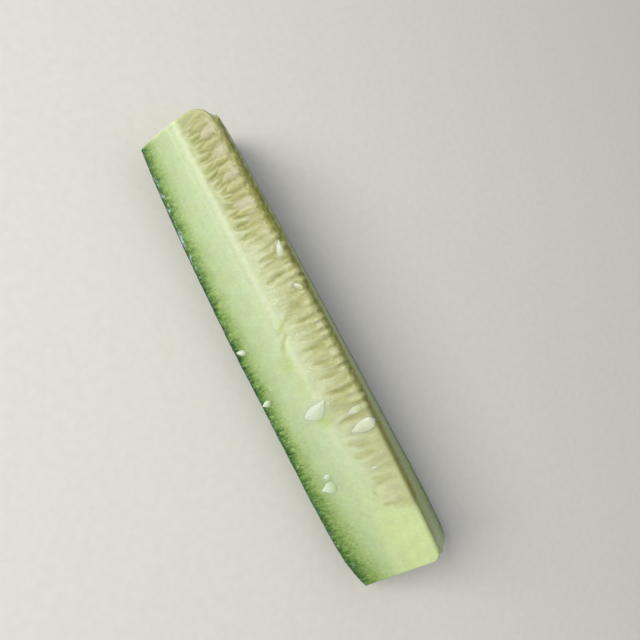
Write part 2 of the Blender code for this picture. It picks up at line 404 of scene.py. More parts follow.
# The chambers' pale walls start that many millimetres down the face, and are that wide, half across, at
# their tops. They widen by that power of the distance down, and clear the pulp away that strongly.
WALL_START = {FRONT: ((-40, 4.5), (-27, -3.0), (22, -3.0), (32, -1.0), (60, 0.0)), BACK: ((0, 4.0),)}
WALL_HALF = {
    FRONT: ((-70, 0.1), (-40, 0.15), (-27, 0.8), (22, 0.75), (32, 0.75), (60, 0.7)),
    BACK: ((0, 0.15),),
}
WALL_OPENS = {FRONT: ((-38, 3.0), (-27, 2.4)), BACK: ((0, 3.0),)}
WALL_CLEARS = {FRONT: ((-70, 0.25), (-38, 0.35), (-27, 0.8), (22, 0.75), (32, 0.85)), BACK: ((0, 0.5),)}
WALL_EDGE = {FRONT: 0.8 * MM, BACK: 0.4 * MM}
# Chambers with little jelly close up that much, and that share of the others closes with them, so that
# their lobes join in the middle of the stick.
CHAMBERS_CLOSE = {FRONT: ((-32, 0.0), (-20, 0.85), (38, 0.7), (50, 0.0)), BACK: ((0, 0.0),)}
LOBES_JOIN = {FRONT: ((-27, 0.0), (-21, 0.8), (18, 0.8), (24, 0.3), (38, 0.0)), BACK: ((0, 0.0),)}
# On both faces: how strongly the ridge's olive edge shows (partly the pulp's own olive, partly painted shade
# and glow of light through the thin ridge), how far down the cut the pulp reaches and how softly it ends
# there, in millimetres.
CREST_SHOWS = ((-70, 0.0), (-58, 0.15), (-46, 0.5), (-30, 0.7), (-14, 0.35), (12, 0.25), (24, 0.2),
               (40, 0.08), (50, 0.0))
PULP_REACH = ((-70, 11.0), (-35, 11.4), (-20, 11.0), (5, 10.8), (22, 11.2), (40, 10.6), (46, 10.2), (50, 8.5),
              (52, 5.5), (54, 0.0), (56, -4.0))
PULP_FADE = ((-70, 1.0), (-35, 1.1), (-20, 1.6), (5, 2.0), (22, 1.4), (40, 1.6), (50, 2.2), (60, 2.4))


def table(rows, x, unit=1.0):
    """The value of such a table at each x."""
    places, values = np.array(rows).T
    return np.interp(x, places * MM, values * unit)


class Seed:
    """A seed on a cut face: its place along X and down the face, size, turn and flatness. tone is how
    white it shows, gel how dark the jelly in its chamber is, foot how far its chamber reaches beyond the
    others, and edge picks the side that a bright line of film, partly a painted highlight, runs along."""

    def __init__(self, side, x, down, size, turn, flat, tone, look, wider=1.0):
        self.x, self.down, self.size, self.turn = x, down - SEED_HIGHER, size, side * math.radians(turn)
        self.tone, self.gel, self.foot = tone, look.uniform(*GELS), look.uniform(*CHAMBER_FEET) * MM
        self.edge = look.choice((-1, 1))
        lie = math.radians(flat)
        half_width, half_thick = size * SEED_WIDTH / 2, size * SEED_THICKNESS / 2
        self.half_length = size * SEED_LENGTH / 2 * SEED_SHORTER
        self.half_width = wider * math.hypot(half_width * math.sin(lie), half_thick * math.cos(lie))

    def measure(self, x, down):
        """(distance along the seed from its middle to its point, distance across, and a measure that is
        1 at its outline). The outline is blunt at the top and pointed below."""
        dx, dd = x - self.x, down - self.down
        toward_tip = dd * math.cos(self.turn) - dx * math.sin(self.turn)
        across = dx * math.cos(self.turn) + dd * math.sin(self.turn)
        share = toward_tip / self.half_length
        wide = self.half_width * np.clip(1 - 0.2 * share, 0.5, 1.15)
        ends = np.where(share < 0, np.abs(share) ** 3, np.abs(share) ** 1.8)
        return toward_tip, across, np.sqrt((across / wide) ** 2 + ends)

    def middle(self, down):
        """Where along X the seed's own line is, at that distance down the face."""
        return self.x - math.tan(self.turn) * (down - self.down)


def row_of_seeds(draw):
    """(place along X, place down the face, size, turn, flatness) of each seed in a face's row."""
    first, last = SEED_ROW
    for step in range(int((last - first) / SEED_PITCH) + 1):
        x = first + step * SEED_PITCH + draw.uniform(-SEED_JITTER, SEED_JITTER)
        down = SEED_MIDDLE + draw.uniform(-SEED_JITTER, SEED_JITTER)
        size = draw.uniform(*SEED_SIZES)
        turn, flat = draw.gauss(0, SEED_TURN), draw.uniform(-SEED_FLATNESS, SEED_FLATNESS)
        yield x, down, size, turn, flat


def face_seeds():
    """{side: its seeds}, placed by the same rule as the solid's."""
    draw, look = random.Random(7), random.Random(11)
    seeds = {FRONT: [], BACK: []}
    for side in (FRONT, BACK):
        for x, down, size, turn, flat in row_of_seeds(draw):
            if side == FRONT and min(abs(x - seed[0] * MM) for seed in SHOWY_SEEDS) < SHOWY_ROOM:
                continue
            seeds[side].append(Seed(side, x, down, size, turn, flat, look.uniform(*SEED_TONES), look))
    for showy in SHOWY_SEEDS:
        x, down, size, turn, flat = showy
        wider = LUMP_WIDER if showy == LUMP else 1.0
        seeds[FRONT].append(Seed(FRONT, x * MM, down * MM, size, turn, flat, 1.0, look, wider))
    return seeds


THREAD_WIDTH = 0.22 * MM
FILM_WIDTH = 0.14  # as a share of the seed's outline
WARP = 0.55 * MM  # how far the pulp's shapes waver
CHAMBER_TOP = 6 * MM  # the walls keep their width down to there


def between_chambers(x, middles):
    """Each point's distance from the wall between its chamber and the next, and its chamber's seed."""
    away = np.abs(x[..., None] - middles)
    nearest = np.argpartition(away, 1, axis=-1)[..., :2]
    two = np.take_along_axis(away, nearest, axis=-1)
    return (two[..., 1] - two[..., 0]) / 2, nearest[..., 0]


def wall_mask(from_wall, down, foot, start, half, edge, opens):
    """The pale walls between the chambers: thin at the top, and all there is below the chambers."""
    share = np.clip((down - CHAMBER_TOP) / (foot + 0.6 * MM - CHAMBER_TOP), 0, 1)
    wide = half + (SEED_PITCH / 2 + edge - half) * share**opens
    mask = 1 - smooth(wide - edge, wide + edge, from_wall)
    return mask * smooth(start, start + 4 * MM, down)


def pulp_relief(side, x, down, seeds, lumps):
    """The pulp of one face: its height, and the fields that colour it."""
    middles = np.stack([seed.middle(down) for seed in seeds], axis=-1)
    from_wall, own = between_chambers(x, middles)
    gel = np.array([seed.gel for seed in seeds])[own]
    inside = np.full(x.shape, 3.0)
    tone, threads, film_glints, domes = (np.zeros(x.shape) for _ in range(4))
    for seed in seeds:
        near = (np.abs(x - seed.x) < 7 * MM) & (down < 14 * MM)
        toward_tip, across, outline = seed.measure(x[near], down[near])
        share = toward_tip / seed.half_length
        tone[near] = np.where(outline < inside[near], seed.tone, tone[near])
        inside[near] = np.minimum(outline, inside[near])
        dome = SEED_RISE[side] * seed.size * np.clip(1 - outline**2, 0, 1) ** 0.8
        thread = plateau(0.6, 1.0, 1.8, 2.3, share) * np.exp(-((across / THREAD_WIDTH) ** 2))
        # A bright line of film along one side of the seed, partly a painted highlight.
        film = plateau(-1.0, -0.6, 0.7, 1.1, share) * np.exp(-(((outline - 1) / FILM_WIDTH) ** 2))
        film *= smooth(-0.1, 0.5, across * seed.edge / seed.half_width)
        for field, values in ((domes, dome), (threads, thread), (film_glints, film)):
            field[near] = np.maximum(field[near], values)

    # The walls between the chambers, and how far down the pulp and each chamber reach.
    half = table(WALL_HALF[side], x, MM) * np.clip(1 + 0.9 * ripple(along(x), 3.7 * MM, 7), 0.3, 1.7)
    foot = table(PULP_REACH, x, MM) + np.interp(x, [40 * MM, 50 * MM], [0.5 * MM, 1.4 * MM]) * lumps
    chamber = foot + np.array([seed.foot for seed in seeds])[own]
    start, opens = table(WALL_START[side], x, MM), table(WALL_OPENS[side], x)
    walls = wall_mask(from_wall, down, chamber, start, half, WALL_EDGE[side], opens)
    thin = 1 - smooth(0.48, 0.62, gel)
    closed = table(CHAMBERS_CLOSE[side], x) * (thin + (1 - thin) * table(LOBES_JOIN[side], x))
    walls = np.maximum(walls, closed * smooth(0, 5 * MM, down))

    # Jelly is deepest between a chamber's seed and its walls. It sinks, and walls and seeds stand out.
    soft = table(PULP_FADE, x, MM)
    pulp = (1 - smooth(-soft, soft, down - foot)) * table(PULP_SHOWS[side], x)
    shows = table(SEEDS_SHOW[side], x)
    outside = smooth(0.75, 1.45, inside)
    low = 0.4 + 0.6 * smooth(3 * MM, 7 * MM, down)
    deep = pulp * (1 - (1 - outside) * shows) * (1 - walls) * smooth(0, 2.5 * MM, down) * gel * low
    height = domes * shows + THREAD_HEIGHT * threads - JELLY_DEPTH * deep + WALL_HEIGHT * walls
    cleared = table(WALL_CLEARS[side], x) * (0.4 + 0.6 * smooth(3 * MM, 10 * MM, down))
    left = pulp * (1 - walls * cleared)
    return {
        "height": height * pulp,
        "seed": 1 - inside,
        "tone": tone * shows,
        "shown": shows * left,
        "walls": walls * pulp,
        "pulp": left,
        "threads": threads * left,
        "film_glints": film_glints * left * shows,
        "deep": deep,
    }


# Shallow tears in the flesh of the front face, in millimetres: half width, strength, and a line of (place
# along X, place down the face).
TEARS = (
    (0.65, 1.0, ((-3.1, 12.3), (-2.4, 13.2), (-1.3, 14.2), (0.0, 14.9), (1.4, 15.3), (2.8, 15.5))),
    (0.6, 0.5, ((-6.6, 10.2), (-6.1, 11.6), (-5.3, 12.8), (-4.2, 13.7))),
)
# Spots on the front face, as (place along X, down the face, half width, half length, turn, strength): sap
# round the tears, a greener patch beside the loose seed, the dark slots of jelly between joined lobes and
# jelly that has run over the flesh, and the pale tops of lobes and torn skins of chambers.
SAP_SPOTS = (
    (23.0, 13.4, 1.9, 2.6, 30, 1.0),
    (4.6, 16.2, 2.8, 2.2, 0, 0.8),
    (-5.6, 12.6, 1.9, 1.3, 0, 0.6),
    (11.6, 14.4, 3.3, 2.2, 0, 0.5),
)
JELLY_POOLS = (
    (-22.7, 5.4, 0.6, 2.8, -6, 0.6),
    (-18.1, 7.2, 0.8, 3.4, -10, 1.0),
    (-12.5, 4.4, 1.1, 2.2, 0, 0.5),
    (-9.3, 5.7, 0.8, 3.0, -4, 0.9),
    (-4.4, 4.3, 0.8, 3.0, -4, 1.0),
    (-1.7, 3.8, 0.3, 2.2, -6, 0.6),
    (3.5, 6.3, 1.0, 3.2, 4, 0.9),
    (7.9, 6.7, 0.85, 2.4, 6, 1.0),
    (9.4, 3.3, 0.3, 2.4, -4, 0.8),
    (12.1, 6.8, 0.7, 3.6, 4, 0.85),
    (16.7, 5.3, 0.85, 4.4, 8, 1.0),
    (24.8, 6.2, 0.55, 3.4, 0, 0.7),
    (19.6, 7.4, 2.6, 5.6, -14, 0.5),
    (-8.3, 8.0, 1.4, 3.4, -30, 0.6),
    (-18.1, 8.6, 0.7, 2.2, 4, 0.7),
    (-51.0, 10.2, 0.8, 1.7, 0, 0.6),
    (-65.0, 10.2, 0.8, 1.8, 8, 0.6),
    (50.4, 7.4, 0.7, 2.0, 10, 0.45),
    (46.4, 9.5, 1.0, 0.7, 0, 0.5),
    (44.2, 6.0, 0.5, 2.4, -6, 0.3),
)
MILKY_SPOTS = (
    (-39.4, 5.2, 0.9, 1.5, 15, 1.0),
    (-41.4, 6.9, 0.3, 1.5, -28, 1.0),
    (-37.2, 4.0, 0.6, 1.7, 8, 1.0),
    (-36.2, 6.6, 0.3, 1.6, 18, 1.0),
    (-30.4, 3.3, 0.7, 1.3, 10, 1.0),
    (-29.4, 7.6, 0.3, 2.2, 8, 1.0),
    (-14.9, 4.2, 0.5, 2.0, -30, 1.0),
    (-6.7, 2.9, 1.0, 2.2, 0, 0.35),
    (-2.8, 2.1, 0.9, 2.0, 0, 0.65),
    (1.5, 2.8, 1.2, 2.2, 0, 0.35),
    (6.4, 1.9, 1.2, 1.7, 0, 0.6),
    (12.9, 2.4, 1.0, 2.0, 0, 0.35),
    (19.4, 2.4, 1.5, 2.0, 0, 0.4),
    (-0.9, 7.6, 0.5, 0.5, 0, 1.0),
    (6.6, 10.2, 0.6, 1.0, 20, 1.0),
    (-5.0, 10.0, 0.9, 0.5, 0, 1.0),
    (13.9, 8.2, 0.35, 2.2, 4, 1.0),
    # The streak at 38.8 mm is a painted highlight, running down from the pale bit at 39.9 mm.
    (38.8, 8.9, 0.3, 1.8, -6, 1.0),
    (47.4, 5.4, 2.4, 3.0, 0, 0.7),
)


def soft_spots(x, down, rows):
    """Each spot's strength in its middle, and 0 away from them all."""
    mask = np.zeros(x.shape)
    for spot_x, spot_down, half_width, half_length, turn, strength in rows:
        dx, dd = x - spot_x * MM, down - spot_down * MM
        slant = math.radians(turn)
        across = (dx * math.cos(slant) + dd * math.sin(slant)) / (half_width * MM)
        lengthways = (dd * math.cos(slant) - dx * math.sin(slant)) / (half_length * MM)
        mask = np.maximum(mask, strength * np.exp(-((across**2 + lengthways**2) ** 1.5)))
    return mask


def distance_to_line(x, down, line):
    """The distance in the face to a line of points."""
    best = np.full(x.shape, 1.0)
    for (ax, ad), (bx, bd) in zip(line, line[1:]):
        ax, ad, bx, bd = (value * MM for value in (ax, ad, bx, bd))
        length = (bx - ax) ** 2 + (bd - ad) ** 2
        share = np.clip(((x - ax) * (bx - ax) + (down - ad) * (bd - ad)) / length, 0, 1)
        best = np.minimum(best, np.hypot(x - ax - share * (bx - ax), down - ad - share * (bd - ad)))
    return best


def new_object(name, mesh, material):
    mesh.materials.append(material)
    mesh.shade_smooth()
    obj = bpy.data.objects.new(name, mesh)
    bpy.context.scene.collection.objects.link(obj)
    return obj


def add_object(name, points, faces, material, attributes=None):
    """A smooth mesh object. attributes maps a name to one number for each point."""
    mesh = bpy.data.meshes.new(name)
    mesh.from_pydata([tuple(p) for p in points], [], [tuple(f) for f in faces])
    for label, values in (attributes or {}).items():
        layer = mesh.attributes.new(label, "FLOAT", "POINT")
        layer.data.foreach_set("value", np.asarray(values, np.float32))
    return new_object(name, mesh, material)


CAP_CENTRE = 15 * MM  # below the axis, where the rings of both ends close


def end_rings(last, side_normals, end_x, way):
    """Rings from the last one of the stick's side over a narrow round rim and in to the end's centre. way is
    -1 at the seeded end and 1 at the plain one."""
    rings = []
    for step in range(1, RIM_ROWS + 1):
        turn = math.pi / 2 * step / RIM_ROWS
        ring = last - RIM * (1 - math.cos(turn)) * side_normals
        ring[:, 0] += way * RIM * math.sin(turn)
        rings.append(ring)
    rim = rings[-1]
    centre = AXIS - [0, 0, CAP_CENTRE]
    for step in range(1, CAP_ROWS):
        ring = centre + (1 - step / CAP_ROWS) * (rim - centre)
        ring[:, 0] = end_x(ring)
        rings.append(ring)
    centre[0] = end_x(centre)
    return np.stack(rings), centre


def end_fields(names, rings, way, peel):
    """The fields of an end: no seed of the faces reaches it, and only the seeded one has pulp."""
    distance = from_axis(rings)
    fields = {name: np.zeros(distance.shape) for name in names}
    fields["under_skin"] = skin_radius(np.float64(way * LENGTH / 2)) - distance
    fields["seed"] -= 1
    fields["peel"][0] = peel
    if way < 0:
        fields["pulp"] = 1 - smooth(10 * MM, 12 * MM, distance)
    return fields


def ridge_relief(x, over, seeds, places):
    """The ridge's rough olive edge, partly painted shade and glow of light through the thin ridge, and the
    rounded tops of the chambers' walls that stick out over it.
    """
    from_ridge = np.abs(over)
    rough = ripple(places * [1, 0.5, 0.5], 1.5 * MM, 4)
    fine = ripple(places, 0.6 * MM, 5)
    reach = np.where(over < 0, 2.6 * MM, 4.5 * MM) + 1.2 * MM * rough + 0.5 * MM * fine
    crest = 1 - smooth(0.2 * MM, reach, from_ridge)
    on_back = smooth(0.2 * MM, 1.8 * MM, over + 0.5 * MM * rough)
    from_wall = between_chambers(x, np.array([seed.x for seed in seeds]))[0]
    walls = wall_mask(from_wall, 0 * x, 11 * MM + 0 * x, -4 * MM, 0.75 * MM, 0.4 * MM, 1.0)
    tabs = walls * plateau(-34 * MM, -26 * MM, 22 * MM, 30 * MM, x) * smooth(-6 * MM, -1.5 * MM, over)
    tabs *= 1 - smooth(1.0 * MM, 2.2 * MM, over + 0.6 * MM * rough)
    tabs *= np.clip(0.5 + 1.5 * ripple(places * [1, 0, 0], 3.1 * MM, 6), 0.0, 1)
    broken = smooth(-68 * MM, -60 * MM, x) * (1 - 0.8 * smooth(0, 30 * MM, x))
    broken *= 1 - smooth(1.2 * MM, 3.2 * MM, from_ridge)
    worn = plateau(-60 * MM, -44 * MM, 0, 30 * MM, x) * (1 - smooth(0, 3.2 * MM, from_ridge)) ** 2
    height = broken * (0.35 * MM * rough + 0.15 * MM * fine) + TAB_HEIGHT * tabs - RIDGE_WORN_DOWN * worn
    # The olive edge is drawn stronger on the ridge's back side, as painted shade.
    shows = table(CREST_SHOWS, x)
    return height, crest * (shows + (0.85 - shows) * on_back) * (1 - 0.8 * tabs), tabs


def painted_back_shade(x, over):
    """Painted shade on the back cut: an olive tint that stands in for shadow and green light bounced onto it,
    weakest far from the ridge and by the ends.
    """
    back_shade = smooth(0.2 * MM, 1.4 * MM, over) * (over < 39 * MM) * (1 - 0.4 * smooth(5 * MM, 14 * MM, over))
    from_end = LENGTH / 2 - np.abs(x)
    return back_shade * (0.35 + 0.65 * smooth(0, 14 * MM, from_end))


def body_surface():
    """The rings of the stick's side with their relief, their normals, and the fields that colour them."""
    places, normals, down_front, down_back, over, peel = stick_rings()
    x = places[..., 0]
    seeds = face_seeds()
    lumps = ripple(places, 3 * MM, 1)
    fine = ripple(places, 0.7 * MM, 2)
    broad = ripple(places, 14 * MM, 3)
    sway = WARP * (ripple(places, 4.5 * MM, 8) + 0.35 * ripple(places, 1.6 * MM, 9))
    drift = WARP * (ripple(places, 3.5 * MM, 10) + 0.5 * ripple(places, 1.2 * MM, 12))
    front = pulp_relief(FRONT, x + sway, down_front + drift, seeds[FRONT], lumps)
    back = pulp_relief(BACK, x + sway, down_back + drift, seeds[BACK], lumps)
    front_share = 1 - smooth(-0.5 * MM, 0.5 * MM, over)
    fields = {name: front[name] * front_share + back[name] * (1 - front_share) for name in front}
    edge_height, crest, tabs = ridge_relief(x, over, seeds[FRONT], places)

    # Slots of jelly are sunk into the pulp. The face is level under the bare seeds and the torn bits.
    pools = soft_spots(x + sway, down_front + drift, JELLY_POOLS)
    fields["pulp"] += pools * np.clip(1 - fields["pulp"], 0, 1)
    for name in ("walls", "shown", "threads"):
        fields[name] *= 1 - pools
    level = np.ones(x.shape)
    for bit_x, bit_down, outline, *_ in BARE_SEEDS + TORN_BITS:
        reach = 0.55 * np.abs(np.array(outline)).max() * (0.5 if len(outline) == 2 else 1.0) * MM
        away = np.hypot(x - bit_x * MM, down_front - bit_down * MM)
        level = np.minimum(level, 0.1 + 0.9 * smooth(reach, 1.8 * reach, away))
    tear = (1 - smooth(-0.5 * MM, 2.8 * MM, x)) * sum(
        strength * np.exp(-((distance_to_line(x, down_front + 0.3 * drift, line) / (width * MM)) ** 2))
        for width, strength, line in TEARS
    )
    height = (fields.pop("height") * (1 - 0.6 * tabs) + edge_height - JELLY_DEPTH * pools) * level
    on_cut = 1 - smooth(0, 0.3, peel)
    height += 0.06 * MM * broad + (0.03 + 0.1 * fields["pulp"]) * MM * lumps - TEAR_DEPTH * tear
    height = on_cut * height + peel * (SKIN_OUT + 0.12 * MM * broad + 0.1 * MM * (lumps + fine))

    fields["seed"] = np.where(fields["pulp"] > 0.02, fields["seed"], -1)
    fields["crest"] = crest
    from_foot = (down_front - 10.5 * MM) / (2.6 * MM)
    fields["ragged"] = plateau(-42 * MM, -30 * MM, 10 * MM, 26 * MM, x) * np.exp(-(from_foot**2))
    # Painted shade on the back cut.
    fields["back"] = painted_back_shade(x, over)
    fields["sap"] = soft_spots(x, down_front, SAP_SPOTS)
    fields["tear"] = tear
    fields["milk"] = soft_spots(x + 0.6 * sway, down_front + 0.6 * drift, MILKY_SPOTS)
    for name in ("pulp", "crest", "ragged", "back", "sap", "tear", "milk"):
        fields[name] *= on_cut
    fields["peel"] = peel
    places = places + height[..., None] * normals
    fields["under_skin"] = skin_radius(x) - from_axis(places)
    return places, normals, fields


AT_CENTRES = {"under_skin": 10 * MM, "seed": -1}  # other fields are 0 at the middles of the ends


def build_body(flesh, skin):
    places, normals, fields = body_surface()
    first, first_centre = end_rings(places[0], normals[0], seeded_end_x, -1)
    last, last_centre = end_rings(places[-1], normals[-1], plain_end_x, 1)
    first_fields, last_fields = (
        end_fields(fields, rings, way, fields["peel"][0]) for rings, way in ((first, -1), (last, 1))
    )
    rings = np.concatenate([first[::-1], places, last])
    points = np.concatenate([rings.reshape(-1, 3), [first_centre, last_centre]])
    points[:, 2] = np.maximum(points[:, 2], 0)
    attributes = {}
    for name, values in fields.items():
        values = np.concatenate([first_fields[name][::-1], values, last_fields[name]])
        attributes[name] = np.append(values, 2 * [AT_CENTRES.get(name, 0)])

    # Quads between the rings, and a fan of triangles in the middle of each end.
    count = len(rings)
    i, j = np.meshgrid(np.arange(count - 1), np.arange(RING), indexing="ij")
    after = (j + 1) % RING
    quads = np.stack([i * RING + j, i * RING + after, (i + 1) * RING + after, (i + 1) * RING + j], axis=-1)
    quads = quads.reshape(-1, 4)
    on_skin = attributes["peel"][quads].min(axis=1) > SKIN_SHARE
    low, high, top = count * RING, count * RING + 1, (count - 1) * RING
    fans = [(low, (k + 1) % RING, k) for k in range(RING)]
    fans += [(high, top + k, top + (k + 1) % RING) for k in range(RING)]
    cut_faces = quads[~on_skin].tolist() + fans
    return (
        part_of_body("cut_stick", points, cut_faces, flesh, attributes),
        part_of_body("stick_rind", points, quads[on_skin].tolist(), skin, {"peel": attributes["peel"]}),
    )


def part_of_body(name, points, faces, material, attributes):
    """An object from some faces of the body, with only the points that they use."""
    used = np.unique(np.concatenate([np.asarray(face) for face in faces]))
    place = np.full(len(points), -1)
    place[used] = np.arange(len(used))
    faces = [place[np.asarray(face)].tolist() for face in faces]
    attributes = {label: values[used] for label, values in attributes.items()}
    return add_object(name, points[used], faces, material, attributes)


def linear(hex_colour):
    """An sRGB hex colour as linear red, green, blue and alpha."""
    channels = [int(hex_colour[i : i + 2], 16) / 255 for i in (0, 2, 4)]
    return [c / 12.92 if c <= 0.04045 else ((c + 0.055) / 1.055) ** 2.4 for c in channels] + [1.0]


def node(tree, kind, *values, output=0, sockets=None, stops=(), **settings):
    """Adds a shader node and returns the output asked for. values go to its first inputs in order, sockets
    maps other inputs to their values, and a value is a number, a vector, a hex colour or the output that
    feeds the input. stops are the (place, hex colour) of a colour ramp."""
    made = tree.nodes.new("ShaderNode" + kind)
    for name, value in settings.items():
        setattr(made, name, value)
    for key, value in {**dict(enumerate(values)), **(sockets or {})}.items():
        if isinstance(value, bpy.types.NodeSocket):
            tree.links.new(value, made.inputs[key])
        else:
            made.inputs[key].default_value = linear(value) if isinstance(value, str) else value
    for number, (place, colour) in enumerate(stops):
        if number >= 2:
            made.color_ramp.elements.new(1)
        made.color_ramp.elements[number].position = place
        made.color_ramp.elements[number].color = linear(colour)
    return made.outputs[output] if made.outputs else None


def new_material(name):
    material = bpy.data.materials.new(name)
    material.use_nodes = True
    material.node_tree.nodes.clear()
    return material, material.node_tree


FLESH_DEPTH = 16 * MM
# Colours of the flesh by its depth under the skin, as shares of FLESH_DEPTH.
FLESH_STOPS = (
    (0.0, "1d4420"),
    (0.035, "37622c"),
    (0.075, "5b8039"),
    (0.14, "7d9b54"),
    (0.20, "93ad6b"),
    (0.27, "a4bb81"),
    (0.36, "b1c696"),
    (0.46, "b8cb9f"),
    (0.60, "bdcfa6"),
    (0.76, "c4d4ad"),
    (1.0, "cad6b3"),
)
# Jelly from its clear, dark parts to its cloudy ones, and a seed's coat under jelly by its tone.
JELLY_STOPS = ((0.28, "9a9b5e"), (0.5, "a9aa70"), (0.74, "b9ba86"))
COAT_STOPS = ((0.0, "a9aa74"), (0.5, "b2b286"), (1.0, "b9b698"))
BARE_COAT_STOPS = ((0.3, "cdd0b8"), (0.7, "d8dbc8"))
RIND_STOPS = ((0.3, "173f16"), (0.5, "24561f"), (0.68, "3f7531"), (0.8, "5c8d42"))
BOARD_STOPS = ((0.3, "f3f2ef"), (0.7, "f7f6f3"))

FLESH_FIELDS = (
    "under_skin", "seed", "tone", "shown", "walls", "pulp", "threads", "film_glints", "deep", "crest", "ragged",
    "back", "sap", "tear", "milk",
)
VESSEL_RADIUS = 11.9 * MM  # of the two pale lines of vessels, from the fruit's axis
THIN_VESSEL_RADIUS = 14.4 * MM
VESSEL_SWAY = 1.0 * MM  # of the thin line, to either side
CELL = 0.55 * MM  # real ones are a third of this, and wouldn't show
PORE = 0.6 * MM  # coarser than real ones too


def fibre_place(tree, place, squeeze):
    """The distance from the fruit's axis, and the place with that distance squeezed, so that patterns on it
    are drawn out towards the skin."""
    off_axis = node(tree, "VectorMath", place, (0, -AXIS[1], -AXIS[2]), operation="ADD")
    flat = node(tree, "VectorMath", off_axis, (0, 1, 1), operation="MULTIPLY")
    radius = node(tree, "VectorMath", flat, output="Value", operation="LENGTH")
    unit = node(tree, "VectorMath", flat, operation="NORMALIZE")
    squeezed = node(tree, "Math", radius, squeeze, 20 * MM * (1 - squeeze), operation="MULTIPLY_ADD")
    radial = node(tree, "VectorMath", unit, sockets={"Scale": squeezed}, operation="SCALE")
    level = node(tree, "VectorMath", place, (1, 0, 0), operation="MULTIPLY")
    return radius, node(tree, "VectorMath", radial, level, operation="ADD")


